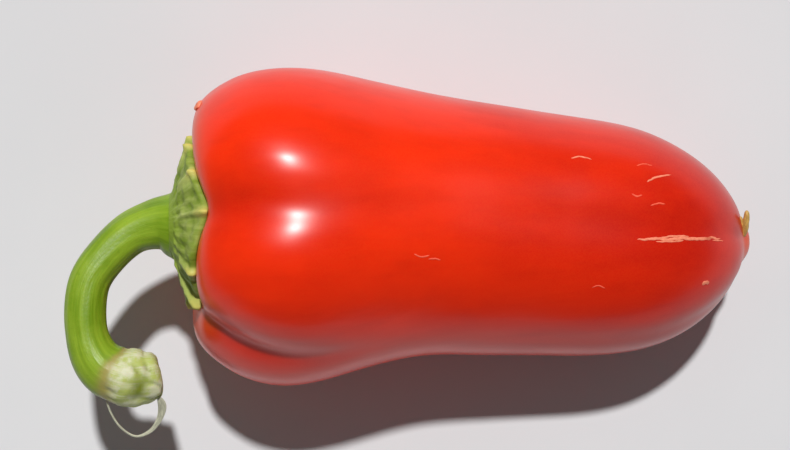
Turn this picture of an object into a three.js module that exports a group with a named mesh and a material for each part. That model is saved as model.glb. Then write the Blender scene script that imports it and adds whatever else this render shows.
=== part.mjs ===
// A ripe, elongated bell pepper with four lobes, lying on its side as picked, with its calyx and hooked stem.
// Millimetres, +Z up. The fruit lies along X with its stem end at -X, and rests on the plane z = 0.
// Every piece is first shaped in the fruit's own frame: X along the fruit's axis from the stem end to the
// blossom end, and angles round that axis counted in degrees from the top, growing towards +Y.
import * as THREE from "three";

// Driving dimensions, in millimetres and degrees.
const FRUIT_LENGTH = 144.5;
const SHOULDER_WIDTH = 82;
const SHOULDER_LEAN = 0.8; // how far the stem end's top corner leans back towards the blossom end
const AXIS_BEND = 4; // how far the blossom end swings towards -Y
const CONTACT_SINK = 0.7; // how much of the ripe skin is pressed flat where the fruit rests
const CALYX_RADIUS = 20.4;
const CALYX_RIM_THICKNESS = 1.4;
const CALYX_BOSS_HEIGHT = 10.2; // from the middle of the fruit's stem end to where the stem starts
const TOOTH_LENGTH = 3.2;
const TOOTH_WIDTH = 6; // degrees round the calyx
const RIB_HEIGHT = 0.8;
const STEM_REACH = 20.9; // how far the hook stands out beyond the calyx
const STEM_SWING = 37.5; // how far it swings sideways, towards -Y
const STEM_OFFSET = -0.4; // how far its root sits to one side of the calyx's middle, along Y
const STEM_LIFT = 3.5; // how far it climbs above the fruit's axis
const STEM_DIAMETER = 10.4;
const STEM_FLARE_DIAMETER = 15.5; // where it joins the calyx
const STEM_END_DIAMETER = 14.2; // the swollen joint where it broke from the plant
const STEM_RIDGES = 5;
const STEM_RIDGE_HEIGHT = 0.25;
const FIBRE_DIAMETER = 0.8;
const STYLE_LENGTH = 5;
const STYLE_DIAMETER = 1.3;
const CLEARANCE = 0.3; // between pieces that touch
const SEAT_CLEARANCE = 0.55; // between the calyx and the uneven cap of the fruit under it

const SHOULDER_RIDGE_RADIUS = 21; // where the stem end's cap is cut back most by the grooves
const SHOULDER_RIDGE_SPREAD = 11;
const SHOULDER_RIDGE_START = 8; // the cut back has died out this close to the axis, along the cap
const SHOULDER_RIDGE_END = [6, 14]; // and between these places along the fruit
const GROOVE_START = 12; // the grooves have died out this close to the axis
const GROOVE_RAMP = [-4, 6]; // they grow to their full depth between these places along the fruit
const GROOVE_DEEPEST = 10; // the place along the fruit where they are deepest
const LEAN_TOWARDS = -30; // the angle that leans back most
const LEAN_END = [4, 40]; // the lean fades out between these places along the fruit

// The grooves between the lobes. "at" is the groove's angle and "width" how far it spreads, in degrees;
// "notch" is how far it cuts back the shoulder, "depth" how deep it is and "run" how far it reaches along
// the fruit, all in millimetres; "tail" is its depth on the blossom end.
const GROOVES = [
  { at: 7, width: 13, notch: 5.5, depth: 5.0, run: 33, tail: 1.8 },
  { at: 98, width: 15, notch: 4.5, depth: 4.5, run: 26, tail: 1.0 },
  { at: 180, width: 17, notch: 5.5, depth: 5.5, run: 42, tail: 1.4 },
  { at: -58, width: 12, notch: 4.0, depth: 8.5, run: 28, tail: 0.9 },
];
const GROOVE_SOFTNESS = 5; // degrees over which the bottom of a groove is rounded

// The calyx's teeth, by their angles. They sit unevenly, as they grew.
const TEETH = [7, 62, 84, 134, 186, 238, 266, 290];

// Mesh fineness.
const FRUIT_AROUND = 80;
const FRUIT_ALONG = 48;
const CALYX_AROUND = 80;
const CALYX_ROWS = 12;
const STEM_AROUND = 20;
const STEM_ALONG = 30;

// The fruit's outline over a lobe, as shares of its length and of its half width.
const outline = new THREE.SplineCurve(
  [
    [0.048, 0],
    [0.046, 0.16],
    [0.034, 0.34],
    [0.014, 0.52],
    [0.01, 0.66],
    [0.028, 0.79],
    [0.065, 0.895],
    [0.108, 0.968],
    [0.16, 1],
    [0.215, 0.985],
    [0.275, 0.932],
    [0.345, 0.86],
    [0.42, 0.807],
    [0.51, 0.785],
    [0.61, 0.765],
    [0.7, 0.748],
    [0.78, 0.71],
    [0.845, 0.632],
    [0.9, 0.52],
    [0.94, 0.39],
    [0.965, 0.27],
    [0.976, 0.18],
    [0.986, 0.13],
    [0.996, 0.075],
    [1, 0],
  ].map(([along, out]) => new THREE.Vector2(along, out)),
);

const radians = THREE.MathUtils.degToRad;
const mix = THREE.MathUtils.lerp;
const ease = (x, from, to) => THREE.MathUtils.smoothstep(x, from, to);
const bell = (x) => Math.exp(-x * x);
// The shortest turn between two angles, in degrees.
const turn = (a, b) => THREE.MathUtils.euclideanModulo(a - b + 180, 360) - 180;

// 1 on a groove's own line, falling off over the lobes beside it.
function grooveLine(groove, angle) {
  const away = Math.hypot(turn(angle, groove.at), GROOVE_SOFTNESS);
  return Math.exp((GROOVE_SOFTNESS - away) / groove.width);
}

// The line that the fruit's middle follows: how far it lies towards +Y at a place along the length.
function axisOffset(along) {
  const share = along / FRUIT_LENGTH;
  const stemEndShare = 0.3 * (1 - ease(share, 0, 0.2));
  const waistShare = 0.25 * bell((share - 0.36) / 0.16);
  return AXIS_BEND * (0.15 + stemEndShare + waistShare - 0.95 * ease(share, 0.35, 0.95));
}

// A point of the skin. "t" runs from 0 at the stem end's middle to 1 at the blossom end's tip.
function skin(t, angle) {
  const at = outline.getPoint(t);
  let along = at.x * FRUIT_LENGTH;
  let out = (at.y * SHOULDER_WIDTH) / 2;
  const onGrooves = ease(out, 0, GROOVE_START);
  const onRidge = bell((out - SHOULDER_RIDGE_RADIUS) / SHOULDER_RIDGE_SPREAD);
  const shoulder = onRidge * ease(out, 0, SHOULDER_RIDGE_START) * (1 - ease(along, ...SHOULDER_RIDGE_END));
  const blossomEnd = ease(along, 0.35 * FRUIT_LENGTH, 0.7 * FRUIT_LENGTH);
  let cutBack = 0;
  let cutIn = 0;
  for (const groove of GROOVES) {
    const line = grooveLine(groove, angle);
    const side = ease(along, ...GROOVE_RAMP) * bell((along - GROOVE_DEEPEST) / groove.run);
    cutBack += line * groove.notch * shoulder;
    cutIn += line * (groove.depth * side + groove.tail * blossomEnd * onGrooves);
  }
  const leaning = ease(out, 0, SHOULDER_RIDGE_RADIUS) * (1 - ease(along, ...LEAN_END));
  const lean = Math.cos(radians(angle - LEAN_TOWARDS)) * leaning;
  along += cutBack + SHOULDER_LEAN * lean;
  out -= cutIn * onGrooves;
  const a = radians(angle);
  return new THREE.Vector3(along, axisOffset(along) + out * Math.sin(a), out * Math.cos(a));
}

// Rebuilds a geometry with each of its points moved to where "place" puts it.
function reshape(geometry, place) {
  const position = geometry.getAttribute("position");
  const uv = geometry.getAttribute("uv");
  const point = new THREE.Vector3();
  for (let i = 0; i < position.count; i++) {
    point.fromBufferAttribute(position, i);
    const moved = place(point, uv.getX(i), uv.getY(i));
    position.setXYZ(i, moved.x, moved.y, moved.z);
  }
  geometry.computeVertexNormals();
  return geometry;
}

function piece(name, geometry, color, roughness) {
  const material = new THREE.MeshStandardMaterial({ color, roughness, metalness: 0 });
  const mesh = new THREE.Mesh(geometry, material);
  mesh.name = name;
  return mesh;
}

// How the fruit lies: its axis is pitched so that the shoulder and the blossom end both reach the table.
function restingFrame() {
  const lowest = (t) => Math.max(...Array.from({ length: 121 }, (_, i) => -skin(t, 120 + i).z));
  const places = Array.from({ length: 81 }, (_, i) => 0.2 + (0.65 * i) / 80);
  const under = places.map((t) => ({ x: skin(t, 180).x, drop: lowest(t) }));
  const shoulder = under.filter((p) => p.x < FRUIT_LENGTH / 3).reduce((a, b) => (b.drop > a.drop ? b : a));
  // The pitch that brings the rest of the underside down onto the table, and no further.
  const far = under.filter((p) => p.x > FRUIT_LENGTH / 2);
  const pitch = Math.min(...far.map((p) => Math.atan2(shoulder.drop - p.drop, p.x - shoulder.x)));
  const frame = new THREE.Matrix4().makeRotationY(pitch);
  const lowestPoint = Math.min(
    ...places.flatMap((t) =>
      Array.from({ length: 121 }, (_, i) => skin(t, 120 + i).applyMatrix4(frame).z),
    ),
  );
  return frame.premultiply(new THREE.Matrix4().makeTranslation(0, 0, -lowestPoint - CONTACT_SINK));
}

const resting = restingFrame();
const lifted = resting.clone().invert();

// The skin can't reach below the table: what would is pressed flat.
function pressedFlat(point) {
  point.applyMatrix4(resting);
  point.z = Math.max(point.z, 0);
  return point.applyMatrix4(lifted);
}

function fruit() {
  const sphere = new THREE.SphereGeometry(1, FRUIT_AROUND, FRUIT_ALONG);
  return piece(
    "fruit",
    reshape(sphere, (_, u, v) => pressedFlat(skin(1 - v, 360 * u))),
    0xc81a05,
    0.25,
  );
}

// The place on the stem end's cap whose distance from the axis is "radius".
function capPlace(radius, angle) {
  let low = 0;
  let high = 0.3;
  for (let i = 0; i < 30; i++) {
    const middle = (low + high) / 2;
    const p = skin(middle, angle);
    if (Math.hypot(p.y - axisOffset(p.x), p.z) < radius) low = middle;
    else high = middle;
  }
  return skin(low, angle);
}

const stemEnd = skin(0, 0);
const bossPlane = stemEnd.x - CALYX_BOSS_HEIGHT;

// How strongly an angle lies on a tooth of the calyx, from 0 to 1.
const toothLine = (angle) => Math.max(...TEETH.map((at) => bell(turn(angle, at) / TOOTH_WIDTH)));

function calyx() {
  const bossRadius = STEM_FLARE_DIAMETER / 2 + STEM_RIDGE_HEIGHT + CLEARANCE;
  const bossShare = 2 / CALYX_ROWS; // the first row outwards, so that a row stands on the boss's edge
  const sphere = new THREE.SphereGeometry(1, CALYX_AROUND, CALYX_ROWS);
  const place = (_, u, v) => {
    const angle = 360 * u;
    const front = v >= 0.5; // the side that faces the stem
    const share = front ? 2 * (1 - v) : 2 * v;
    const tooth = toothLine(angle);
    const rim = CALYX_RADIUS + TOOTH_LENGTH * tooth;
    const radius =
      share < bossShare
        ? (share / bossShare) * bossRadius
        : mix(bossRadius, rim, (share - bossShare) / (1 - bossShare));
    const under = capPlace(radius, angle);
    const inner = under.x - SEAT_CLEARANCE;
    const edge = capPlace(rim, angle).x - SEAT_CLEARANCE - CALYX_RIM_THICKNESS;
    const slope = Math.max(0, (radius - bossRadius) / (rim - bossRadius));
    const rib = RIB_HEIGHT * tooth * ease(radius, bossRadius, rim * 0.6) * (1 - ease(share, 0.85, 1));
    const back = Math.min(mix(bossPlane, edge, slope) - rib, inner - CALYX_RIM_THICKNESS);
    return new THREE.Vector3(front ? back : inner, under.y, under.z);
  };
  return piece("calyx", reshape(sphere, place), 0x6f8f2c, 0.6);
}

// A rod along a curve. "radius" gives its half thickness by the share of its length and the angle round it.
function rod(curve, around, rows, radius) {
  const frames = curve.computeFrenetFrames(rows, false);
  const points = curve.getSpacedPoints(rows);
  return reshape(new THREE.CylinderGeometry(1, 1, 1, around, rows), (at) => {
    const row = Math.round((0.5 - at.y) * rows);
    const angle = Math.atan2(-at.x, at.z);
    const out = Math.hypot(at.x, at.z) * radius(row / rows, angle);
    return points[row]
      .clone()
      .addScaledVector(frames.normals[row], out * Math.cos(angle))
      .addScaledVector(frames.binormals[row], out * Math.sin(angle));
  });
}

// The stem's hook, as shares of its reach, its swing and its lift.
const stemRoute = new THREE.CatmullRomCurve3(
  [
    [0, 0, 0],
    [-0.2, 0, 0],
    [-0.48, -0.06, 0.1],
    [-0.75, -0.2, 0.35],
    [-0.95, -0.37, 0.6],
    [-1, -0.58, 0.85],
    [-0.95, -0.78, 0.95],
    [-0.81, -0.92, 1],
    [-0.58, -0.995, 1],
    [-0.32, -1.01, 0.95],
    [-0.1, -0.985, 0.85],
  ].map(
    ([out, side, up]) =>
      new THREE.Vector3(
        bossPlane - CLEARANCE + out * STEM_REACH,
        stemEnd.y + STEM_OFFSET + side * STEM_SWING,
        up * STEM_LIFT,
      ),
  ),
);

// The stem's half thickness without its ridges: it flares into the calyx and swells at the broken joint.
function stemRadius(share) {
  const flare = (STEM_FLARE_DIAMETER - STEM_DIAMETER) * (1 - ease(share, 0, 0.14));
  const swelling = (STEM_END_DIAMETER - STEM_DIAMETER) * ease(share, 0.6, 0.92);
  return (STEM_DIAMETER + flare + swelling) / 2;
}

function stem() {
  const geometry = rod(
    stemRoute,
    STEM_AROUND,
    STEM_ALONG,
    (share, angle) => stemRadius(share) + STEM_RIDGE_HEIGHT * Math.cos(STEM_RIDGES * angle),
  );
  return piece("stem", geometry, 0x6f9f24, 0.5);
}

// A thin strand that tore loose from the stem's broken end and hangs in a loop outside the hook.
function fibre() {
  const outside = (share, further, drop) => {
    const point = stemRoute.getPointAt(share);
    const along = stemRoute.getTangentAt(share);
    const gap = stemRadius(share) + STEM_RIDGE_HEIGHT + CLEARANCE + FIBRE_DIAMETER / 2 + further;
    return new THREE.Vector3(point.x + along.y * gap, point.y - along.x * gap, point.z - drop);
  };
  const route = new THREE.CatmullRomCurve3([
    outside(0.84, 0, 0.5),
    outside(0.86, 3.2, 2.5),
    outside(0.89, 6.6, 4.2),
    outside(0.93, 6.4, 4.2),
    outside(0.96, 3, 2.6),
    outside(0.97, 0, 1),
  ]);
  return piece("torn_fibre", rod(route, 8, 20, () => FIBRE_DIAMETER / 2), 0xb9c48a, 0.6);
}

// The dried remnant of the flower's style, standing on the fruit's tip.
function styleRemnant() {
  const root = skin(0.9, 40);
  const route = new THREE.CatmullRomCurve3(
    [
      [0.5, 0.5, 0.6],
      [0.4, 2, 1.5],
      [0.8, STYLE_LENGTH, 2.6],
    ].map(([x, y, z]) => new THREE.Vector3(root.x + x, root.y + y, root.z + z)),
  );
  const geometry = rod(route, 8, 8, (share) => (STYLE_DIAMETER / 2) * (1 - 0.45 * share));
  return piece("style_remnant", geometry, 0x9a6a1c, 0.7);
}

const pepper = new THREE.Group();
pepper.name = "bell_pepper";
const asItLies = new THREE.Group();
asItLies.applyMatrix4(resting);
asItLies.add(fruit(), calyx(), stem(), fibre(), styleRemnant());
pepper.add(asItLies);

// The part's origin is the middle of its outer box, on the table.
const box = new THREE.Box3().setFromObject(pepper, true);
const middle = box.getCenter(new THREE.Vector3());
asItLies.position.x -= middle.x;
asItLies.position.y -= middle.y;

export default pepper;
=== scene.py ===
"""The looks of a ripe bell pepper lying on its side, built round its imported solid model.

The frame gives every piece's place: metres, +X from the stem end to the blossom tip, +Z up.
"""
import math

import bmesh
import bpy
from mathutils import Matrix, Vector, noise
from mathutils.bvhtree import BVHTree


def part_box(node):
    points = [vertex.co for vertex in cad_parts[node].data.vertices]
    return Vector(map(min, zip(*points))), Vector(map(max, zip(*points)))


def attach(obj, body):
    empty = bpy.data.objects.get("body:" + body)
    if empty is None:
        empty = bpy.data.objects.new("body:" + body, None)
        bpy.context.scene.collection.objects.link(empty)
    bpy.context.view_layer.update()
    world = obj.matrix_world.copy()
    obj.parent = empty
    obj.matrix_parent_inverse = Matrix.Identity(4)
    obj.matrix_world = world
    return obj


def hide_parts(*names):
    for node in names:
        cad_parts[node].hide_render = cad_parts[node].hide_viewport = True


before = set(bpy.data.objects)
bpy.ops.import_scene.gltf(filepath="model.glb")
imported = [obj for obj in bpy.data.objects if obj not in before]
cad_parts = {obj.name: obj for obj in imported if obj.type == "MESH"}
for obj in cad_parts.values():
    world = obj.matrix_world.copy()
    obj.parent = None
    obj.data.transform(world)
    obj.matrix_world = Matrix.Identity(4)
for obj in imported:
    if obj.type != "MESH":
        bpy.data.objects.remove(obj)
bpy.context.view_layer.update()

bl_info = {
    "name": "Bell Pepper",
    "version": (1, 0, 0),
    "blender": (4, 5, 0),
    "location": "View3D > Sidebar > Pepper",
    "description": "Builds a ripe bell pepper with its calyx, hooked stem and small scars",
    "category": "Object",
}

MM = 0.001
UP = Vector((0, 0, 1))
BODY = "root"

# How the fruit lies: its blossom end points down by this much.
PITCH = math.radians(5.9)
STEMWARD = Vector((-math.cos(PITCH), 0, math.sin(PITCH)))  # along the fruit's axis, out of the stem end
RISE = Vector((math.sin(PITCH), 0, math.cos(PITCH)))  # square to the axis, towards the top
SIDE = Vector((0, 1, 0))


# ---------------------------------------------------------------- sizes and colours


def colour(name, description, default):
    return bpy.props.FloatVectorProperty(
        name=name, description=description, subtype="COLOR", size=3, min=0, max=1, default=default
    )


def length(name, description, default):
    return bpy.props.FloatProperty(
        name=name, description=description, default=default * MM, min=0, unit="LENGTH", precision=5
    )


class PepperSkin(bpy.types.PropertyGroup):
    """Sizes and colours of the fruit's skin and its scars"""

    ripe: colour("Ripe", "Skin colour on the shoulders", (1.0, 0.026, 0.0))
    # The deep colour also stands for painted shade: it is mixed into the grooves and along the blossom half's valley.
    deep: colour("Deep", "Skin colour in the grooves and towards the blossom end", (0.50, 0.001, 0.0))
    young: colour("Young", "Skin colour beside the calyx and on the tip", (0.88, 0.10, 0.01))
    cork: colour("Cork", "Colour of the corky scars", (0.90, 0.24, 0.13))
    swell: length("Swell", "Height of the slow waves in the skin", 0.16)
    ripple: length("Ripple", "Height of the fine lengthwise ripples", 0.045)
    crease_fill: length("Crease fill", "How much the skin softens the deepest groove", 1.5)
    scar_height: length("Scar height", "How far a corky scar stands out of the skin", 0.11)


class PepperGreen(bpy.types.PropertyGroup):
    """Sizes and colours of the calyx and the stem"""

    stem_light: colour("Stem light", "Lighter streaks of the stem", (0.30, 0.44, 0.03))
    stem_dark: colour("Stem dark", "Darker streaks of the stem", (0.15, 0.27, 0.006))
    # The calyx runs from dark between its ribs to light on them: partly its own veining, partly painted shade in the
    # hollows and painted light on the ribs.
    calyx_light: colour("Calyx light", "Ribs and upper side of the calyx", (0.47, 0.54, 0.14))
    calyx_dark: colour("Calyx dark", "Hollows of the calyx", (0.19, 0.28, 0.02))
    tooth_tip: colour("Tooth tip", "Dry tips of the calyx's teeth", (0.66, 0.60, 0.14))
    torn: colour("Torn tissue", "Pale tissue at the broken end", (0.72, 0.71, 0.52))
    # The cleft colour is the broken end's own olive tissue, darkened to serve as painted shade in its cracks and slit.
    cleft: colour("Cleft", "Olive green inside the broken end", (0.17, 0.21, 0.008))
    ring: colour("Ring", "Brownish band where the bark stops", (0.40, 0.31, 0.10))
    style: colour("Style", "Dried flower remnant", (0.82, 0.50, 0.13))
    leaf_thickness: length("Leaf thickness", "Thickness of the calyx at its rim", 1.1)
    leaf_gap: length("Leaf gap", "How far the calyx's rim stands off the skin", 0.12)
    rib_height: length("Rib height", "Height of the ribs that run into the teeth", 0.6)
    ridge_height: length("Ridge height", "Height of the ridges along the stem", 0.08)


class PepperStage(bpy.types.PropertyGroup):
    """Floor, lights and camera"""

    floor: colour("Floor", "Colour of the floor", (0.72, 0.72, 0.73))
    key_strength: bpy.props.FloatProperty(name="Key", description="Strength of the key light", default=3.1, min=0)
    key_angle: bpy.props.FloatProperty(
        name="Key angle", description="Softness of the key light", default=math.radians(3), min=0, subtype="ANGLE"
    )
    key_direction: bpy.props.FloatVectorProperty(
        name="Key direction", description="Where the key light comes from", default=(0.03, 0.47, 0.88), subtype="XYZ"
    )
    fill: bpy.props.FloatProperty(
        name="Fill", description="Strength of the even light from all round", default=0.11, min=0
    )
    lens: bpy.props.FloatProperty(
        name="Lens", description="Focal length of the camera", default=75.1, min=1, subtype="DISTANCE_CAMERA"
    )
    camera_height: bpy.props.FloatProperty(
        name="Camera height", description="Height over the floor", default=0.45, min=0.1, unit="LENGTH"
    )


# ---------------------------------------------------------------- meshes


def ease(x, start, end):
    """0 before start, 1 after end, and smooth between them."""
    t = min(max((x - start) / (end - start), 0.0), 1.0)
    return t * t * (3 - 2 * t)


def bell(x):
    return math.exp(-x * x)


def mix(a, b, share):
    return a + (b - a) * share


def turn(a, b):
    """The shortest turn between two angles, in degrees."""
    return (a - b + 180) % 360 - 180


def wobble(point, size, seed=0.0):
    """Smooth noise from -1 to 1 whose waves are about size long."""
    return noise.noise(point / size + Vector((seed, seed * 1.7, -seed)))


def smooth_route(points, steps):
    """Points on a smooth curve through the given ones."""
    ends = [points[0] * 2 - points[1], *points, points[-1] * 2 - points[-2]]
    route = []
    for i in range(steps + 1):
        place = i / steps * (len(points) - 1)
        k = min(int(place), len(points) - 2)
        t = place - k
        a, b, c, d = ends[k : k + 4]
        route.append(
            0.5 * (2 * b + (c - a) * t + (2 * a - 5 * b + 4 * c - d) * t * t + (3 * b - a - 3 * c + d) * t**3)
        )
    return route


def even_route(points, steps):
    """The same curve with its points evenly spaced."""
    fine = smooth_route(points, steps * 8)
    travelled = [0.0]
    for a, b in zip(fine, fine[1:]):
        travelled.append(travelled[-1] + (b - a).length)
    route = []
    k = 0
    for i in range(steps + 1):
        target = travelled[-1] * i / steps
        while k < len(fine) - 2 and travelled[k + 1] < target:
            k += 1
        route.append(fine[k].lerp(fine[k + 1], (target - travelled[k]) / (travelled[k + 1] - travelled[k])))
    return route


def frames_along(route, up=None):
    """(point, across, above, along) at each point of a route. "up" gives the way up there, +Z if left out."""
    frames = []
    for i, point in enumerate(route):
        along = (route[min(i + 1, len(route) - 1)] - route[max(i - 1, 0)]).normalized()
        way_up = up[i] if up else UP
        across = along.cross(way_up).normalized()
        frames.append((point, across, across.cross(along).normalized(), along))
    return frames


def sweep(bm, rows, sides, place, mark=None):
    """A closed shell: one ring extruded row by row, each point put where place(row, angle) says.

    mark(row, angle) gives the "grain" that the piece's material reads there.
    """
    grain = bm.verts.layers.float_vector.get("grain") or bm.verts.layers.float_vector.new("grain")
    ring = bmesh.ops.create_circle(bm, segments=sides, radius=1.0)["verts"]
    angles = [math.atan2(v.co.y, v.co.x) for v in ring]
    edges = list({e for v in ring for e in v.link_edges})
    ends = [edges]
    for row in range(rows):
        if row:
            made = bmesh.ops.extrude_edge_only(bm, edges=edges)["geom"]
            fresh = {g for g in made if isinstance(g, bmesh.types.BMVert)}
            ring = [next(e.other_vert(v) for e in v.link_edges if e.other_vert(v) in fresh) for v in ring]
            edges = list({e for v in ring for e in v.link_edges if e.other_vert(v) in fresh})
        for vert, angle in zip(ring, angles):
            vert.co = place(row, angle)
            if mark:
                vert[grain] = mark(row, angle)
    ends.append(edges)
    for edges in ends:
        bmesh.ops.contextual_create(bm, geom=edges)


def rod(bm, frames, sides, section, grain_scale=1.0):
    """A rod through frames. section(share, angle) gives how far a point stands across and above."""
    last = len(frames) - 1

    def place(row, angle):
        point, across, above, _ = frames[row]
        x, y = section(row / last, angle)
        return point + across * x + above * y

    def mark(row, angle):
        return Vector((math.cos(angle), math.sin(angle), row / last * grain_scale))

    sweep(bm, len(frames), sides, place, mark)


def new_piece(name, bm, material, slot, *nodes):
    """The finished piece: closed, facing out, riding on the pepper, standing for the CAD nodes it is given."""
    bmesh.ops.recalc_face_normals(bm, faces=bm.faces)
    for face in bm.faces:
        face.smooth = True
    mesh = bpy.data.meshes.new(name)
    bm.to_mesh(mesh)
    bm.free()
    mesh.materials.append(material)
    piece = bpy.data.objects.new(name, mesh)
    bpy.context.scene.collection.objects.link(piece)
    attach(piece, BODY)
    if nodes:
        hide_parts(*nodes)
    return piece


def rounded(piece, levels):
    """Gives a piece a smooth surface."""
    modifier = piece.modifiers.new("Smooth surface", "SUBSURF")
    modifier.levels = modifier.render_levels = levels
    return piece


def subdivided(bm, levels):
    """The bmesh with a smooth subdivision applied to it."""
    mesh = bpy.data.meshes.new("subdividing")
    bm.to_mesh(mesh)
    bm.free()
    holder = bpy.data.objects.new("subdividing", mesh)
    bpy.context.scene.collection.objects.link(holder)
    modifier = holder.modifiers.new("Subdivide", "SUBSURF")
    modifier.levels = modifier.render_levels = levels
    smooth = holder.evaluated_get(bpy.context.evaluated_depsgraph_get()).to_mesh()
    result = bmesh.new()
    result.from_mesh(smooth)
    bpy.data.objects.remove(holder)
    bpy.data.meshes.remove(mesh)
    return result


def skin_tree():
    """The fruit's skin, for laying things on it."""
    bm = bmesh.new()
    bm.from_mesh(bpy.data.objects["fruit_skin"].data)
    tree = BVHTree.FromBMesh(bm)
    bm.free()
    return tree


# ---------------------------------------------------------------- materials


def link_or_set(tree, socket, value):
    if isinstance(value, bpy.types.NodeSocket):
        tree.links.new(value, socket)
    elif hasattr(value, "__len__"):
        value = tuple(value)
        socket.default_value = (*value, 1.0) if socket.type == "RGBA" and len(value) == 3 else value
    else:
        socket.default_value = value


def node(tree, kind, output=0, inputs=None, **settings):
    """Adds a node and gives back one of its outputs."""
    made = tree.nodes.new(kind)
    for key, value in settings.items():
        setattr(made, key, value)
    for key, value in (inputs or {}).items():
        link_or_set(tree, made.inputs[key], value)
    return made.outputs[output]


def math_node(tree, operation, a, b=0.0, clamp=False):
    return node(tree, "ShaderNodeMath", operation=operation, use_clamp=clamp, inputs={0: a, 1: b})


def mix_colour(tree, factor, a, b, blend="MIX"):
    made = tree.nodes.new("ShaderNodeMix")
    made.data_type = "RGBA"
    made.blend_type = blend
    link_or_set(tree, made.inputs[0], factor)
    link_or_set(tree, made.inputs[6], a)
    link_or_set(tree, made.inputs[7], b)
    return made.outputs[2]


def stepped(tree, value, low, high, to_low=0.0, to_high=1.0):
    """Maps low..high smoothly to to_low..to_high."""
    return node(
        tree,
        "ShaderNodeMapRange",
        interpolation_type="SMOOTHSTEP",
        inputs={0: value, 1: low, 2: high, 3: to_low, 4: to_high},
    )


def own_place(tree):
    return node(tree, "ShaderNodeTexCoord", "Object")


def attribute(tree, name, output="Fac"):
    return node(tree, "ShaderNodeAttribute", output, attribute_name=name)


def new_group(name, inputs, outputs):
    """A node group with named sockets: its tree, and its input and output nodes."""
    tree = bpy.data.node_groups.new(name, "ShaderNodeTree")
    for in_out, sockets in (("INPUT", inputs), ("OUTPUT", outputs)):
        for title, kind in sockets:
            tree.interface.new_socket(title, in_out=in_out, socket_type=kind)
    return tree, tree.nodes.new("NodeGroupInput"), tree.nodes.new("NodeGroupOutput")


def patches_group():
    """Soft patches of an even size, with finer ones inside them."""
    tree, given, result = new_group(
        "Patches",
        [
            ("Vector", "NodeSocketVector"),
            ("Size", "NodeSocketFloat"),
            ("Low", "NodeSocketFloat"),
            ("High", "NodeSocketFloat"),
        ],
        [("Mask", "NodeSocketFloat")],
    )
    scale = math_node(tree, "DIVIDE", 1.0, given.outputs["Size"])
    cloud = node(
        tree,
        "ShaderNodeTexNoise",
        inputs={"Vector": given.outputs["Vector"], "Scale": scale, "Detail": 4.0, "Roughness": 0.55},
    )
    mask = stepped(tree, cloud, given.outputs["Low"], given.outputs["High"])
    tree.links.new(mask, result.inputs["Mask"])
    return tree


def streaks_group():
    """Fine fibres that follow a piece's grain: the mask of its lighter streaks, and their height."""
    tree, given, result = new_group(
        "Streaks",
        [
            ("Grain", "NodeSocketVector"),
            ("Count", "NodeSocketFloat"),
            ("Low", "NodeSocketFloat"),
            ("High", "NodeSocketFloat"),
        ],
        [("Mask", "NodeSocketFloat"), ("Height", "NodeSocketFloat")],
    )
    broad = node(
        tree,
        "ShaderNodeTexNoise",
        inputs={"Vector": given.outputs["Grain"], "Scale": given.outputs["Count"], "Detail": 3.0, "Roughness": 0.6},
    )
    finer = math_node(tree, "MULTIPLY", given.outputs["Count"], 3.1)
    fine = node(
        tree,
        "ShaderNodeTexNoise",
        inputs={"Vector": given.outputs["Grain"], "Scale": finer, "Detail": 2.0, "Roughness": 0.5},
    )
    both = math_node(tree, "ADD", math_node(tree, "MULTIPLY", broad, 0.7), math_node(tree, "MULTIPLY", fine, 0.3))
    tree.links.new(stepped(tree, both, given.outputs["Low"], given.outputs["High"]), result.inputs["Mask"])
    tree.links.new(both, result.inputs["Height"])
    return tree


def use_group(tree, name, output, inputs):
    """Places a group, made the first time it is asked for, and gives back one of its outputs."""
    made = tree.nodes.new("ShaderNodeGroup")
    makers = {"Patches": patches_group, "Streaks": streaks_group}
    made.node_tree = bpy.data.node_groups.get(name) or makers[name]()
    for key, value in inputs.items():
        link_or_set(tree, made.inputs[key], value)
    return made.outputs[output]


def patches(tree, vector, size, low=0.4, high=0.6):
    return use_group(tree, "Patches", "Mask", {"Vector": vector, "Size": size, "Low": low, "High": high})


def stretched(tree, vector, scale):
    return node(tree, "ShaderNodeMapping", inputs={"Vector": vector, "Scale": scale})


def bump(tree, height, distance, strength=1.0, normal=None):
    inputs = {"Height": height, "Distance": distance, "Strength": strength}
    if normal:
        inputs["Normal"] = normal
    return node(tree, "ShaderNodeBump", inputs=inputs)


def new_material(name, preview):
    """A material with a Principled shader: itself, its tree and the shader."""
    material = bpy.data.materials.new(name)
    material.use_nodes = True
    material.diffuse_color = (*preview, 1.0)
    tree = material.node_tree
    tree.nodes.clear()
    shader = tree.nodes.new("ShaderNodeBsdfPrincipled")
    output = tree.nodes.new("ShaderNodeOutputMaterial")
    tree.links.new(shader.outputs[0], output.inputs[0])
    return material, tree, shader


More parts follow.
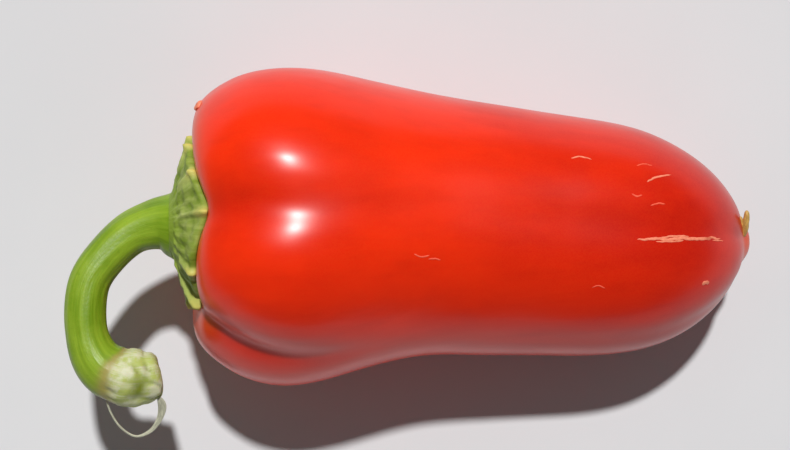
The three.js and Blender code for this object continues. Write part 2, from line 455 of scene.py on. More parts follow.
def skin_material(skin):
    material, tree, shader = new_material("Ripe pepper skin", skin.ripe)
    place = own_place(tree)
    lengthwise = stretched(tree, place, (0.22, 1.0, 1.0))
    broad = patches(tree, place, 0.034, 0.36, 0.66)
    streak = patches(tree, lengthwise, 0.0055, 0.38, 0.68)
    cells = node(tree, "ShaderNodeTexVoronoi", "Distance", inputs={"Vector": place, "Scale": 2600.0})
    along = node(tree, "ShaderNodeSeparateXYZ", 0, inputs={0: place})
    blossomward = stepped(tree, along, -0.02, 0.085, 0.0, 0.62)
    # painted shade: the grooves and the blossom half's valley are mixed towards the deep red
    groove = attribute(tree, "groove")
    depth = math_node(tree, "ADD", blossomward, math_node(tree, "MULTIPLY", broad, 0.22))
    depth = math_node(tree, "ADD", depth, math_node(tree, "MULTIPLY", streak, 0.12))
    depth = math_node(tree, "ADD", depth, math_node(tree, "MULTIPLY", groove, 0.42), clamp=True)
    colour_ = mix_colour(tree, depth, skin.ripe, skin.deep)
    colour_ = mix_colour(tree, math_node(tree, "MULTIPLY", attribute(tree, "young"), 0.75), colour_, skin.young)
    grainy = stepped(tree, cells, 0.0, 0.75, 0.0, 0.10)
    colour_ = mix_colour(tree, grainy, colour_, skin.young)
    link_or_set(tree, shader.inputs["Base Color"], colour_)
    wax = patches(tree, place, 0.012, 0.3, 0.7)
    link_or_set(tree, shader.inputs["Roughness"], stepped(tree, wax, 0.0, 1.0, 0.30, 0.36))
    fine = node(tree, "ShaderNodeTexNoise", inputs={"Vector": place, "Scale": 900.0, "Detail": 3.0})
    pores = math_node(tree, "ADD", fine, math_node(tree, "MULTIPLY", cells, 0.25))
    link_or_set(tree, shader.inputs["Normal"], bump(tree, pores, 0.00004, 0.25))
    shader.inputs["Specular IOR Level"].default_value = 0.1
    shader.inputs["Coat Weight"].default_value = 0.5
    shader.inputs["Coat Roughness"].default_value = 0.27
    shader.inputs["Subsurface Weight"].default_value = 0.04
    shader.inputs["Subsurface Radius"].default_value = (1.0, 0.25, 0.1)
    shader.inputs["Subsurface Scale"].default_value = 0.004
    return material


def cork_material(name, base):
    material, tree, shader = new_material(name, base)
    place = own_place(tree)
    pale = [min(c * 1.25, 1.0) for c in base]
    rusty = [base[0] * 0.75, base[1] * 0.55, base[2] * 0.45]
    crumbs = patches(tree, place, 0.0009, 0.35, 0.65)
    colour_ = mix_colour(tree, crumbs, base, pale)
    colour_ = mix_colour(tree, patches(tree, place, 0.0022, 0.5, 0.72), colour_, rusty)
    link_or_set(tree, shader.inputs["Base Color"], colour_)
    link_or_set(tree, shader.inputs["Roughness"], stepped(tree, crumbs, 0.0, 1.0, 0.7, 0.5))
    grit = node(tree, "ShaderNodeTexNoise", inputs={"Vector": place, "Scale": 3000.0, "Detail": 3.0})
    link_or_set(tree, shader.inputs["Normal"], bump(tree, grit, 0.00012, 0.6))
    return material


def stem_material(green):
    material, tree, shader = new_material("Green stem", green.stem_light)
    place = own_place(tree)
    grain = stretched(tree, attribute(tree, "grain", "Vector"), (1.0, 1.0, 0.35))
    streak = use_group(tree, "Streaks", "Mask", {"Grain": grain, "Count": 3.4, "Low": 0.30, "High": 0.72})
    fibres = use_group(tree, "Streaks", "Height", {"Grain": grain, "Count": 9.0, "Low": 0.4, "High": 0.6})
    light = math_node(tree, "MULTIPLY", streak, 0.75)
    light = math_node(tree, "ADD", light, math_node(tree, "MULTIPLY", patches(tree, place, 0.011), 0.3), clamp=True)
    colour_ = mix_colour(tree, light, green.stem_dark, green.stem_light)
    specks = patches(tree, place, 0.0011, 0.62, 0.70)
    colour_ = mix_colour(tree, math_node(tree, "MULTIPLY", specks, 0.35), colour_, green.stem_dark)
    torn = attribute(tree, "torn")
    shreds = use_group(tree, "Streaks", "Mask", {"Grain": grain, "Count": 5.5, "Low": 0.42, "High": 0.62})
    pale = mix_colour(tree, math_node(tree, "MULTIPLY", shreds, 0.6), green.calyx_light, green.torn)
    pale = mix_colour(tree, math_node(tree, "MULTIPLY", patches(tree, place, 0.0035, 0.42, 0.6), 0.7), pale, green.torn)
    # darker olive in the cracks and the slit: the tissue's own colour, deepened as painted shade
    pale = mix_colour(tree, attribute(tree, "cleft"), pale, green.cleft)
    colour_ = mix_colour(tree, torn, colour_, pale)
    colour_ = mix_colour(tree, attribute(tree, "ring"), colour_, green.ring)
    link_or_set(tree, shader.inputs["Base Color"], colour_)
    link_or_set(tree, shader.inputs["Roughness"], stepped(tree, torn, 0.0, 1.0, 0.38, 0.55))
    rough_bits = node(tree, "ShaderNodeTexNoise", inputs={"Vector": place, "Scale": 1400.0, "Detail": 3.0})
    height = math_node(tree, "ADD", fibres, math_node(tree, "MULTIPLY", rough_bits, 0.4))
    link_or_set(tree, shader.inputs["Normal"], bump(tree, height, 0.00022, 0.55))
    shader.inputs["Specular IOR Level"].default_value = 0.3
    shader.inputs["Subsurface Weight"].default_value = 0.05
    shader.inputs["Subsurface Scale"].default_value = 0.002
    return material


def calyx_material(green):
    material, tree, shader = new_material("Green calyx", green.calyx_light)
    place = own_place(tree)
    grain = stretched(tree, attribute(tree, "grain", "Vector"), (1.0, 1.0, 0.25))
    streak = use_group(tree, "Streaks", "Mask", {"Grain": grain, "Count": 6.0, "Low": 0.42, "High": 0.62})
    veins = use_group(tree, "Streaks", "Height", {"Grain": grain, "Count": 14.0, "Low": 0.4, "High": 0.6})
    # lighter on the ribs, darker between them: partly the calyx's own veining, partly painted light and painted shade
    light = math_node(tree, "MULTIPLY", attribute(tree, "rib"), 0.55)
    light = math_node(tree, "ADD", light, math_node(tree, "MULTIPLY", streak, 0.45))
    light = math_node(tree, "ADD", light, math_node(tree, "MULTIPLY", patches(tree, place, 0.005), 0.25), clamp=True)
    colour_ = mix_colour(tree, light, green.calyx_dark, green.calyx_light)
    colour_ = mix_colour(tree, attribute(tree, "root"), colour_, green.stem_light)
    dry = math_node(tree, "MULTIPLY", attribute(tree, "tip"), patches(tree, place, 0.0035, 0.25, 0.5))
    colour_ = mix_colour(tree, dry, colour_, green.tooth_tip)
    link_or_set(tree, shader.inputs["Base Color"], colour_)
    link_or_set(tree, shader.inputs["Roughness"], stepped(tree, light, 0.0, 1.0, 0.62, 0.48))
    bits = node(tree, "ShaderNodeTexNoise", inputs={"Vector": place, "Scale": 1200.0, "Detail": 4.0})
    height = math_node(tree, "ADD", veins, math_node(tree, "MULTIPLY", bits, 0.5))
    link_or_set(tree, shader.inputs["Normal"], bump(tree, height, 0.0003, 0.6))
    shader.inputs["Specular IOR Level"].default_value = 0.3
    return material


def fibre_material(name, base, dark, size):
    """Dry or torn plant fibre, streaked along its length."""
    material, tree, shader = new_material(name, base)
    place = own_place(tree)
    grain = stretched(tree, attribute(tree, "grain", "Vector"), (1.0, 1.0, 1.5))
    streak = use_group(tree, "Streaks", "Mask", {"Grain": grain, "Count": 2.6, "Low": 0.40, "High": 0.62})
    height = use_group(tree, "Streaks", "Height", {"Grain": grain, "Count": 5.0, "Low": 0.4, "High": 0.6})
    colour_ = mix_colour(tree, streak, dark, base)
    colour_ = mix_colour(tree, math_node(tree, "MULTIPLY", patches(tree, place, size), 0.35), colour_, dark)
    link_or_set(tree, shader.inputs["Base Color"], colour_)
    link_or_set(tree, shader.inputs["Roughness"], stepped(tree, streak, 0.0, 1.0, 0.6, 0.42))
    link_or_set(tree, shader.inputs["Normal"], bump(tree, height, 0.00015, 0.6))
    return material


# ---------------------------------------------------------------- the fruit

# The grooves between the lobes, in degrees round the axis from the top towards +Y, and how far they reach
# from the stem end, as shares of the length. Only the skin's colour follows them here: a deeper red painted into them
# as shade.
GROOVES = [(7, 0.32), (98, 0.28), (180, 0.42), (-58, 0.30)]
GROOVE_WIDTH = 9  # degrees
CREASE_ANGLE = -58  # the deepest of them, softened a little by the skin over it
CREASE_WIDTH = 11  # degrees
VALLEY_ANGLE = 1  # the valley of the blossom half, painted deeper red as shade
VALLEY_WIDTH = 15  # degrees
BLOSSOM_Y = 3.0 * MM  # where the axis runs at the blossom end
AXIS_HEIGHTS = (38.6 * MM, 24.3 * MM)  # the axis over the floor at the stem end and at the tip
SWELL_LENGTH = 17 * MM  # from one slow wave of the skin to the next
RIPPLE_LENGTH = 3.6 * MM
RIPPLE_STRETCH = 0.35  # the ripples are drawn out lengthwise
FREE_HEIGHT = 3 * MM  # the skin is left flat where it rests and free above this
WELD = 0.002 * MM


def fruit_frame():
    """A function giving where a point lies in the fruit's own frame: share of the length, angle and radius."""
    low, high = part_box("fruit")
    calyx_low, calyx_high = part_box("calyx")
    calyx_y = (calyx_low.y + calyx_high.y) / 2

    def locate(point):
        share = (point.x - low.x) / (high.x - low.x)
        y = point.y - mix(calyx_y, BLOSSOM_Y, ease(share, 0.3, 0.9))
        z = point.z - mix(*AXIS_HEIGHTS, share)
        return share, math.degrees(math.atan2(y, z)), math.hypot(y, z)

    return locate


class PEPPER_OT_fruit(bpy.types.Operator):
    """Builds the fruit: its solid's own shape made smooth, with slow waves and fine ripples in the skin"""

    bl_idname = "pepper.fruit"
    bl_label = "Fruit"

    def execute(self, context):
        skin = context.scene.pepper_skin
        bm = bmesh.new()
        bm.from_mesh(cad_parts["fruit"].data)
        bmesh.ops.remove_doubles(bm, verts=bm.verts, dist=WELD)
        bmesh.ops.join_triangles(
            bm, faces=bm.faces, angle_face_threshold=math.radians(40), angle_shape_threshold=math.radians(60)
        )
        bm = subdivided(bm, 2)
        # mask of the painted shade in the grooves and along the valley
        groove = bm.verts.layers.float.new("groove")
        young = bm.verts.layers.float.new("young")
        bm.normal_update()
        locate = fruit_frame()
        for vert in bm.verts:
            share, angle, radius = locate(vert.co)
            drawn_out = Vector((vert.co.x * RIPPLE_STRETCH, vert.co.y, vert.co.z))
            free = ease(vert.co.z, 0.0, FREE_HEIGHT)
            waves = skin.swell * wobble(vert.co, SWELL_LENGTH, 3.0)
            waves += skin.ripple * wobble(drawn_out, RIPPLE_LENGTH, 9.0) * (1 - ease(share, 0.2, 0.6) * 0.6)
            in_crease = bell(turn(angle, CREASE_ANGLE) / CREASE_WIDTH)
            soft = skin.crease_fill * in_crease * (1 - ease(share, 0.12, 0.5)) * ease(share, 0.02, 0.08)
            vert.co += vert.normal * (waves + soft) * free
            # painted shade: darker red along the grooves near the stem end and along the blossom half's valley
            line = max(
                bell(turn(angle, at) / GROOVE_WIDTH) * (1 - ease(share, 0.25 * reach, 1.6 * reach))
                for at, reach in GROOVES
            )
            valley_shade = 0.7 * bell(turn(angle, VALLEY_ANGLE) / VALLEY_WIDTH) * ease(share, 0.4, 0.75)
            vert[groove] = max(line, valley_shade) * ease(radius, 12 * MM, 30 * MM)
            at_stem = (1 - ease(share, 0.02, 0.10)) * (1 - ease(radius, 26 * MM, 36 * MM))
            at_tip = 0.9 * ease(share, 0.94, 1.0) * (1 - ease(radius, 5 * MM, 12 * MM))
            vert[young] = max(at_stem, at_tip)
        new_piece("fruit_skin", bm, skin_material(skin), "pepper_skin", "fruit")
        return {"FINISHED"}


# Corky scars: each one's width in mm, and the points it runs through, as shares of the fruit's box along X and Y.
SCARS = {
    "long": (
        0.8,
        [
            (0.768, 0.466),
            (0.80, 0.468),
            (0.825, 0.465),
            (0.85, 0.469),
            (0.875, 0.466),
            (0.90, 0.470),
            (0.922, 0.467),
        ],
    ),
    "long_upper": (0.5, [(0.81, 0.472), (0.835, 0.476), (0.86, 0.474)]),
    "long_lower": (0.4, [(0.80, 0.460), (0.83, 0.459), (0.85, 0.462)]),
    "long_end": (0.3, [(0.905, 0.461), (0.917, 0.462), (0.928, 0.460)]),
    "high": (0.42, [(0.660, 0.712), (0.677, 0.716), (0.695, 0.707)]),
    "slanting": (0.5, [(0.788, 0.640), (0.805, 0.655), (0.832, 0.664)]),
}
# Older ones, which have healed to nearly the skin's colour.
FAINT_SCARS = {
    "upper": (0.34, [(0.772, 0.69), (0.786, 0.696), (0.80, 0.691)]),
    "short": (0.42, [(0.760, 0.603), (0.769, 0.596), (0.778, 0.60)]),
    "short_lower": (0.4, [(0.792, 0.568), (0.805, 0.575), (0.818, 0.572)]),
    "waist": (0.4, [(0.398, 0.425), (0.41, 0.416), (0.423, 0.421)]),
    "waist_lower": (0.4, [(0.421, 0.409), (0.432, 0.411), (0.441, 0.406)]),
    "low": (0.32, [(0.692, 0.322), (0.703, 0.327), (0.715, 0.320)]),
}
DOTS = {"dot": (1.1, [(0.887, 0.331), (0.894, 0.332), (0.901, 0.331)])}
SCAR_STEP = 0.35 * MM
CLEAR = 10 * MM  # how far outside the fruit a ray starts
SCAB_PLACE = (0.875, 0.66)  # shares of the fruit's box along Y and Z
SCAB_RADIUS = 1.4 * MM


class PEPPER_OT_scars(bpy.types.Operator):
    """Lays the corky scars on the skin, as thin uneven strips that follow it"""

    bl_idname = "pepper.scars"
    bl_label = "Corky scars"

    def execute(self, context):
        skin = context.scene.pepper_skin
        tree = skin_tree()
        cork = cork_material("Corky scar", skin.cork)
        healed = cork_material("Healed scar", [mix(a, b, 0.6) for a, b in zip(skin.cork, skin.ripe)])
        for scars, material in ((SCARS, cork), (FAINT_SCARS, healed), (DOTS, cork)):
            for name, (width, points) in scars.items():
                scar(name, width * MM, points, skin.scar_height, tree, material)
        scab(tree, cork)
        return {"FINISHED"}


def scar(name, width, points, scar_height, tree, material):
    """A thin uneven strip laid on the skin through the given places."""
    low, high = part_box("fruit")
    over = [Vector((mix(low.x, high.x, x), mix(low.y, high.y, y), high.z + CLEAR)) for x, y in points]
    steps = max(10, round((over[-1] - over[0]).length / SCAR_STEP))
    route, ups = [], []
    for point in smooth_route(over, steps):
        jag = wobble(point, 0.9 * MM) * 0.35 * width
        on_skin, normal, _, _ = tree.ray_cast(point + Vector((0, jag, 0)), -UP)
        route.append(on_skin)
        ups.append(normal)

    def section(share, angle):
        taper = math.sqrt(max(1 - (2 * share - 1) ** 4, 0.02))
        ragged = 1 + 0.45 * noise.noise(Vector((share * steps * 0.35, over[0].x / MM, 2 * math.cos(angle))))
        height = scar_height * (0.75 + 0.5 * noise.noise(Vector((share * steps * 0.5, 7, over[0].y / MM))))
        return width / 2 * taper * ragged * math.cos(angle), height * taper * math.sin(angle)

    bm = bmesh.new()
    rod(bm, frames_along(route, ups), 10, section, steps * 0.3)
    new_piece(f"scar_{name}", bm, material, "dried_style")


def scab(tree, material):
    """A small corky lump on the back shoulder."""
    low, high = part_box("fruit")
    start = Vector((low.x - CLEAR, mix(low.y, high.y, SCAB_PLACE[0]), mix(low.z, high.z, SCAB_PLACE[1])))
    place, normal, _, _ = tree.ray_cast(start, Vector((1, 0, 0)))
    bm = bmesh.new()
    made = bmesh.ops.create_icosphere(bm, subdivisions=4, radius=SCAB_RADIUS)["verts"]
    for vert in made:
        vert.co *= 1 + 0.25 * wobble(vert.co, 0.9 * MM, 4.0)
    bmesh.ops.scale(bm, verts=made, vec=Vector((1, 1.2, 0.6)))
    bmesh.ops.transform(bm, matrix=normal.to_track_quat("Z", "Y").to_matrix(), verts=made)
    bmesh.ops.translate(bm, verts=made, vec=place)
    new_piece("shoulder_scab", bm, material, "dried_style")


# ---------------------------------------------------------------- calyx and stem

# The calyx's teeth: angle in degrees from the top towards +Y, length in mm, width in degrees, and how far the
# tip curls away from the fruit, in mm.
TEETH = [
    (7, 1.6, 5, 0.2),
    (38, 0.9, 5, 0.5),
    (66, 1.2, 5, 0.7),
    (92, 2.4, 6, 0.8),
    (134, 2.0, 6, 0.5),
    (160, 1.0, 5, 0.4),
    (186, 1.8, 6, 0.6),
    (212, 1.4, 5, 0.8),
    (240, 1.2, 5, 0.6),
    (262, 2.4, 6, 0.7),
    (286, 2.6, 6, 0.4),
    (322, 1.2, 5, 0.4),
]
CALYX_SIDES = 288
CALYX_ROWS = 44
INNER_RADIUS = 6.6 * MM  # inside the stem's flare
RIM_RADIUS = 19.2 * MM  # between the teeth
START_HEIGHT = -0.6 * MM  # of the leaf at its inner edge, over the stem's start
SADDLE = 0.9 * MM  # how much it rises there to meet the stem
VEINS = 24
VEIN_HEIGHT = 0.16 * MM
RUFFLE = 0.6 * MM  # unevenness of the rim
FRILL = 0.35 * MM  # how much the rim lifts off the skin
FAR = 40 * MM  # where rays to the skin start
NO_SKIN = 14 * MM  # the depth taken where a ray misses the skin
# The underside's rows, from the rim inwards: share of the way to the rim, and how fully the row lies on the skin.
UNDER_ROWS = [
    (1.006, 0.3),
    (1.008, 0.6),
    (1.0, 0.9),
    (0.98, 1.0),
    (0.92, 1.0),
    (0.84, 1.0),
    (0.72, 1.0),
    (0.6, 1.0),
    (0.35, 1.0),
]


class PEPPER_OT_calyx(bpy.types.Operator):
    """Drapes the calyx over the fruit's cap: a ribbed, toothed leafy saucer that rises to the stem"""

    bl_idname = "pepper.calyx"
    bl_label = "Calyx"

    def execute(self, context):
        green = context.scene.pepper_green
        tree = skin_tree()
        low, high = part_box("calyx")
        stem_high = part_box("stem")[1]
        centre = Vector((0, (low.y + high.y) / 2, (low.z + high.z) / 2))
        centre += STEMWARD * (-stem_high.x) / -STEMWARD.x
        depths = {}

        def skin_depth(radius, degrees):
            """How far the skin lies below the plane where the stem starts."""
            key = (round(radius * 1e5), round(degrees, 2))
            if key not in depths:
                depths[key] = cast_down(radius, math.radians(degrees))
            return depths[key]

        def cast_down(radius, angle):
            out = centre + (RISE * math.cos(angle) + SIDE * math.sin(angle)) * radius
            hit = tree.ray_cast(out + STEMWARD * FAR, -STEMWARD)[0]
            return (out - hit).dot(STEMWARD) if hit else NO_SKIN

        def tooth(degrees):
            """How strongly an angle lies on a tooth, with the tooth's length and curl there."""
            best = max(TEETH, key=lambda t: bell(turn(degrees, t[0]) / t[2]) * t[1])
            share = bell(turn(degrees, best[0]) / (0.62 * best[2]))
            return share, best[1] * MM * share**1.6, best[3] * MM * share**1.6

        def top(share, angle):
            """(radius, height over the stem's start) of the calyx's upper side."""
            degrees = math.degrees(angle)
            strength, tooth_length, curl = tooth(degrees)
            ruffle = noise.noise(Vector((degrees / 14, 5, 0))) + 0.6 * noise.noise(Vector((degrees / 5, 9, 0)))
            edge = RIM_RADIUS + RUFFLE * ruffle + tooth_length
            radius = mix(INNER_RADIUS, edge, share)
            leaf = green.leaf_thickness + green.leaf_gap - skin_depth(radius, degrees)
            at_rim = green.leaf_thickness + green.leaf_gap - skin_depth(edge, degrees)
            height = max(mix(START_HEIGHT, at_rim, share**1.6), leaf)
            height += SADDLE * math.exp(-share / 0.1)
            rib = green.rib_height * strength * ease(share, 0.3, 0.75) * (1 - 0.75 * ease(share, 0.75, 1.0))
            vein = VEIN_HEIGHT * math.cos(math.radians(degrees * VEINS))
            vein *= ease(share, 0.1, 0.3) * (1 - ease(share, 0.8, 1))
            rough = 0.5 * MM * noise.noise(Vector((degrees / 11, share * 5, 2)))
            rough += 0.3 * MM * noise.noise(Vector((degrees / 5, share * 9, 6)))
            frill = FRILL * (1 + noise.noise(Vector((degrees / 20, 1, 8))))
            lift = curl * ease(share, 0.78, 1.0) + frill * ease(share, 0.8, 1)
            return radius, height + rib + vein + rough * ease(share, 0.1, 0.4) + lift

        def row_share(row):
            """How far towards the rim a row of the upper side lies."""
            return (row / (CALYX_ROWS - 1)) ** 0.85

        def spot(radius, height, angle):
            out = RISE * math.cos(angle) + SIDE * math.sin(angle)
            return centre + out * radius + STEMWARD * height

        def place(row, angle):
            if row < CALYX_ROWS:
                return spot(*top(row_share(row), angle), angle)
            share, deep = UNDER_ROWS[row - CALYX_ROWS]
            radius, height = top(min(share, 1.0), angle)
            on_skin = green.leaf_gap - skin_depth(radius, math.degrees(angle))
            return spot(radius * max(share, 1.0), mix(height, on_skin, deep), angle)

        def mark(row, angle):
            return Vector((math.cos(angle), math.sin(angle), row_share(min(row, CALYX_ROWS - 1))))

        bm = bmesh.new()
        sweep(bm, CALYX_ROWS + len(UNDER_ROWS), CALYX_SIDES, place, mark)
        rib = bm.verts.layers.float.new("rib")
        tip = bm.verts.layers.float.new("tip")
        root = bm.verts.layers.float.new("root")
        grain = bm.verts.layers.float_vector["grain"]
        for vert in bm.verts:
            x, y, share = vert[grain]
            strength = tooth(math.degrees(math.atan2(y, x)))[0]
            # where the calyx's colour is painted lighter, the hollows between being left as painted shade
            vert[rib] = strength
            vert[tip] = strength * ease(share, 0.78, 0.98)
            vert[root] = 0.85 * (1 - ease(share, 0.1, 0.6))
        new_piece("calyx_leaf", bm, calyx_material(green), "calyx_green", "calyx")
        return {"FINISHED"}


# The stem's hook, as shares of its solid's box, from the calyx to the broken end.
STEM_ROUTE = [
    (1.03, 0.853, 0.412),
    (0.991, 0.853, 0.412),
    (0.832, 0.853, 0.435),
    (0.612, 0.811, 0.484),
    (0.401, 0.712, 0.559),
    (0.245, 0.591, 0.627),
    (0.209, 0.442, 0.677),
    (0.250, 0.300, 0.690),
    (0.362, 0.201, 0.683),
    (0.544, 0.148, 0.657),
    (0.730, 0.140, 0.623),
    (0.830, 0.148, 0.600),
]
STEM_SIDES = 72
STEM_ROWS = 96
STEM_RADIUS = 5.1 * MM
FLARE = 4.0 * MM  # how much wider the stem is where it meets the calyx
KNOB = 2.1 * MM  # how much wider its swollen end is
BARK_END = 0.825  # share of the stem's length where its bark stops and the torn tissue starts
HOLLOW = (0.735, 0.095, 0.90)  # the deepest cleft of the broken end, as shares of the stem's box
# The broken end's rows: how far past the route's end in mm, and the share of the radius there.
END_ROWS = [(0.6, 0.96), (1.1, 0.89), (1.5, 0.79), (1.75, 0.66), (1.85, 0.5), (1.8, 0.3), (1.75, 0.1)]


class PEPPER_OT_stem(bpy.types.Operator):
    """Sweeps the ridged stem along its hook and closes it with its swollen, torn end"""

    bl_idname = "pepper.stem"
    bl_label = "Stem"

    def execute(self, context):
        green = context.scene.pepper_green
        low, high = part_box("stem")
        size = high - low
        points = [low + Vector((x * size.x, y * size.y, z * size.z)) for x, y, z in STEM_ROUTE]
        frames = frames_along(even_route(points, STEM_ROWS))
        last = len(frames) - 1
        hollow = low + Vector((HOLLOW[0] * size.x, HOLLOW[1] * size.y, HOLLOW[2] * size.z))

        def torn_share(share, angle):
            jagged = noise.noise(Vector((3 * math.cos(angle), 3 * math.sin(angle), 4)))
            edge = BARK_END + 0.02 * math.sin(2 * angle + 1) + 0.02 * jagged
            return ease(share, edge, edge + 0.03), bell((share - edge - 0.006) / 0.022)

        def radius_at(share, angle):
            radius = STEM_RADIUS
            radius += FLARE * math.exp(-share / 0.06) + 0.4 * MM * (1 - ease(share, 0.0, 0.35))
            radius += KNOB * ease(share, 0.62, 0.9) - 1.0 * MM * ease(share, 0.93, 1.0)
            twisted = angle + 1.1 * share
            bark = 1 - torn_share(share, angle)[0]
            ridges = math.cos(5 * twisted) + 0.45 * math.cos(11 * twisted + 2) + 0.3 * math.cos(17 * twisted + 1)
            return radius + green.ridge_height * ridges * mix(0.2, 1.0, bark)

        def cleft_share(place):
            """How deep a point of the broken end lies in its cracks or in the slit at its deepest cleft."""
            lines = abs(wobble(place, 5.2 * MM, 2.3))
            cracks = 0.7 * bell(lines / 0.10) * ease(wobble(place, 8 * MM, 6.1), -0.15, 0.25)
            aside = (place - hollow) / (3.9 * MM)
            slit = bell(2.2 * (0.9 * aside.x - 0.43 * aside.y)) * bell(0.43 * aside.x + 0.9 * aside.y)
            return max(cracks, slit * ease(place.z, hollow.z - 3 * MM, hollow.z))

        def place(row, angle):
            share = min(row / last, 1.0)
            point, across, above, along = frames[min(row, last)]
            radius = radius_at(share, angle)
            forward = 0.0
            if row > last:
                forward, narrowed = END_ROWS[row - last - 1]
                radius *= narrowed
            spot = point + (across * math.cos(angle) + above * math.sin(angle)) * radius + along * forward * MM
            torn, ring = torn_share(share, angle)
            outward = (spot - point).normalized()
            lumps = 0.42 * wobble(spot, 3.4 * MM, 1.0) + 0.3 * wobble(spot, 1.5 * MM, 5.0) - 1.1 * cleft_share(spot)
            return spot + outward * MM * (torn * lumps - 0.3 * ring)

        def mark(row, angle):
            return Vector((math.cos(angle), math.sin(angle), min(row / last, 1.0) * 2))

        bm = bmesh.new()
        sweep(bm, len(frames) + len(END_ROWS), STEM_SIDES, place, mark)
        torn = bm.verts.layers.float.new("torn")
        ring = bm.verts.layers.float.new("ring")
        cleft = bm.verts.layers.float.new("cleft")
        grain = bm.verts.layers.float_vector["grain"]
        for vert in bm.verts:
            x, y, share = vert[grain]
            vert[torn], line = torn_share(share / 2, math.atan2(y, x))
            vert[ring] = 0.8 * line
            # mask of the dark olive painted in the cracks and slit, partly as shade
            vert[cleft] = cleft_share(vert.co)
        rounded(new_piece("stem_hook", bm, stem_material(green), "stem_green", "stem"), 1)
        return {"FINISHED"}


# The torn strand's loop, as shares of its solid's box, with its width at each point in mm.
STRAND = [
    (-0.06, 1.16, 1.05, 0.6),
    (0.02, 0.72, 0.7, 0.55),
    (0.18, 0.30, 0.35, 0.55),
    (0.44, 0.04, 0.12, 0.6),
    (0.72, 0.20, 0.15, 1.0),
    (0.90, 0.55, 0.4, 1.5),
    (0.98, 0.95, 0.8, 2.2),
    (0.93, 1.25, 1.1, 1.6),
]
STRAND_ROWS = 60
STRAND_THICKNESS = 0.44 * MM


class PEPPER_OT_strand(bpy.types.Operator):
    """Sweeps the flat strand that tore loose below the broken end"""

    bl_idname = "pepper.strand"
    bl_label = "Torn strand"

    def execute(self, context):
        green = context.scene.pepper_green
        low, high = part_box("torn_fibre")
        size = high - low
        points = [low + Vector((x * size.x, y * size.y, z * size.z)) for x, y, z, _ in STRAND]
        widths = smooth_route([Vector((w, 0, 0)) for *_, w in STRAND], STRAND_ROWS)
        frames = frames_along(smooth_route(points, STRAND_ROWS))

        def section(share, angle):
            half = widths[round(share * STRAND_ROWS)].x * MM / 2
            end = math.sqrt(max(1 - abs(2 * share - 1) ** 12, 0.05))
            return half * end * math.cos(angle), STRAND_THICKNESS / 2 * end * math.sin(angle)

        bm = bmesh.new()
        rod(bm, frames, 14, section, 3.0)
        dark = [c * 0.62 for c in green.torn]
        material = fibre_material("Torn fibre", green.torn, dark, 0.003)
        rounded(new_piece("torn_strand", bm, material, "pale_fibre", "torn_fibre"), 1)
        return {"FINISHED"}


# The dried style's two prongs: points in mm from its foot on the fruit's tip, and the thickness in mm.
PRONGS = [
    ([(-0.2, -1.4, -1.0), (0.2, 0.0, 0.3), (0.3, 1.6, 1.4), (0.4, 3.2, 2.2), (0.3, 4.7, 2.7)], 1.9),
    ([(-0.8, -0.8, -0.8), (-0.8, 0.4, 0.5), (-1.0, 1.8, 1.4), (-1.1, 3.2, 1.9)], 1.5),
]
PRONG_ROWS = 24
STYLE_FOOT = (0.980, 0.497)  # shares of the fruit's box along X and Y


class PEPPER_OT_style(bpy.types.Operator):
    """Sweeps the two dried prongs that the flower left on the fruit's tip"""

    bl_idname = "pepper.style"
    bl_label = "Dried style"

    def execute(self, context):
        green = context.scene.pepper_green
        low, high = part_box("fruit")
        over = Vector((mix(low.x, high.x, STYLE_FOOT[0]), mix(low.y, high.y, STYLE_FOOT[1]), high.z + CLEAR))
        foot = skin_tree().ray_cast(over, -UP)[0]
        bm = bmesh.new()
        for points, thickness in PRONGS:
            route = smooth_route([foot + Vector(p) * MM for p in points], PRONG_ROWS)

            def section(share, angle, half=thickness * MM / 2):
                taper = mix(1.25, 0.72, share) * math.sqrt(max(1 - share**10, 0.08))
                ragged = 1 + 0.16 * noise.noise(Vector((math.cos(angle) * 2, math.sin(angle) * 2, share * 5)))
                return half * taper * ragged * math.cos(angle), half * taper * ragged * math.sin(angle)

            rod(bm, frames_along(route, [Vector((1, 0, 0.2))] * len(route)), 14, section, 2.0)
        dark = [c * 0.6 for c in green.style]
        material = fibre_material("Dried style", green.style, dark, 0.0016)
        rounded(new_piece("dried_prongs", bm, material, "dried_style", "style_remnant"), 1)
        return {"FINISHED"}


# ---------------------------------------------------------------- stage

FLOOR_HALF = 3.0  # metres
SENSOR_WIDTH = 36.0  # mm, as the lens is
CAMERA_PLACE = (-4.8 * MM, 7.0 * MM)  # X and Y
SKY = (0.98, 0.99, 1.0, 1.0)


def floor_material(stage):
    material, tree, shader = new_material("Floor", stage.floor)
    shade = [c * 0.965 for c in stage.floor]
    cloud = patches(tree, own_place(tree), 0.12, 0.3, 0.7)
    link_or_set(tree, shader.inputs["Base Color"], mix_colour(tree, cloud, stage.floor, shade))
    shader.inputs["Roughness"].default_value = 0.75
    return material


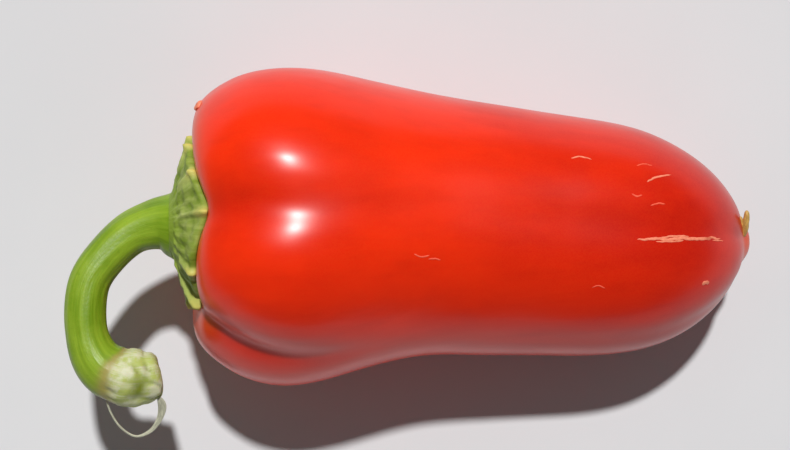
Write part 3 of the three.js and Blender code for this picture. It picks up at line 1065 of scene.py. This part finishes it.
class PEPPER_OT_stage(bpy.types.Operator):
    """Sets the floor, the key light, the even light from all round and the camera"""

    bl_idname = "pepper.stage"
    bl_label = "Stage"

    def execute(self, context):
        stage = context.scene.pepper_stage
        bm = bmesh.new()
        bmesh.ops.create_grid(bm, x_segments=1, y_segments=1, size=FLOOR_HALF)
        mesh = bpy.data.meshes.new("floor")
        bm.to_mesh(mesh)
        bm.free()
        mesh.materials.append(floor_material(stage))
        floor = bpy.data.objects.new("floor", mesh)
        context.scene.collection.objects.link(floor)
        data = bpy.data.lights.new("key", "SUN")
        data.energy = stage.key_strength
        data.angle = stage.key_angle
        key = bpy.data.objects.new("key", data)
        key.rotation_euler = Vector(stage.key_direction).to_track_quat("Z", "Y").to_euler()
        context.scene.collection.objects.link(key)
        world = bpy.data.worlds.new("even light")
        world.use_nodes = True
        background = world.node_tree.nodes["Background"]
        background.inputs["Color"].default_value = SKY
        background.inputs["Strength"].default_value = stage.fill
        context.scene.world = world
        camera = bpy.data.objects.new("camera", bpy.data.cameras.new("camera"))
        camera.data.sensor_width = SENSOR_WIDTH
        camera.data.lens = stage.lens
        camera.location = (*CAMERA_PLACE, stage.camera_height)
        context.scene.collection.objects.link(camera)
        context.scene.camera = camera
        context.scene.view_settings.view_transform = "Standard"
        return {"FINISHED"}


class PEPPER_PT_panel(bpy.types.Panel):
    """Sizes, colours and the pieces to build"""

    bl_idname = "PEPPER_PT_panel"
    bl_label = "Bell Pepper"
    bl_space_type = "VIEW_3D"
    bl_region_type = "UI"
    bl_category = "Pepper"

    def draw(self, context):
        layout = self.layout
        for title, group, operators in (
            ("Fruit", context.scene.pepper_skin, (PEPPER_OT_fruit, PEPPER_OT_scars)),
            (
                "Calyx, stem and tip",
                context.scene.pepper_green,
                (PEPPER_OT_calyx, PEPPER_OT_stem, PEPPER_OT_strand, PEPPER_OT_style),
            ),
            ("Stage", context.scene.pepper_stage, (PEPPER_OT_stage,)),
        ):
            box = layout.box()
            box.label(text=title)
            for name in group.__annotations__:
                box.prop(group, name)
            for operator in operators:
                box.operator(operator.bl_idname)


GROUPS = {"pepper_skin": PepperSkin, "pepper_green": PepperGreen, "pepper_stage": PepperStage}
OPERATORS = [
    PEPPER_OT_stage,
    PEPPER_OT_fruit,
    PEPPER_OT_scars,
    PEPPER_OT_calyx,
    PEPPER_OT_stem,
    PEPPER_OT_strand,
    PEPPER_OT_style,
]


def register():
    for item in (*GROUPS.values(), *OPERATORS, PEPPER_PT_panel):
        bpy.utils.register_class(item)
    for name, group in GROUPS.items():
        setattr(bpy.types.Scene, name, bpy.props.PointerProperty(type=group))


def unregister():
    for name in GROUPS:
        delattr(bpy.types.Scene, name)
    for item in reversed((*GROUPS.values(), *OPERATORS, PEPPER_PT_panel)):
        bpy.utils.unregister_class(item)


def main():
    register()
    for operator in OPERATORS:
        family, name = operator.bl_idname.split(".")
        getattr(getattr(bpy.ops, family), name)()


if __name__ == "__main__":
    main()
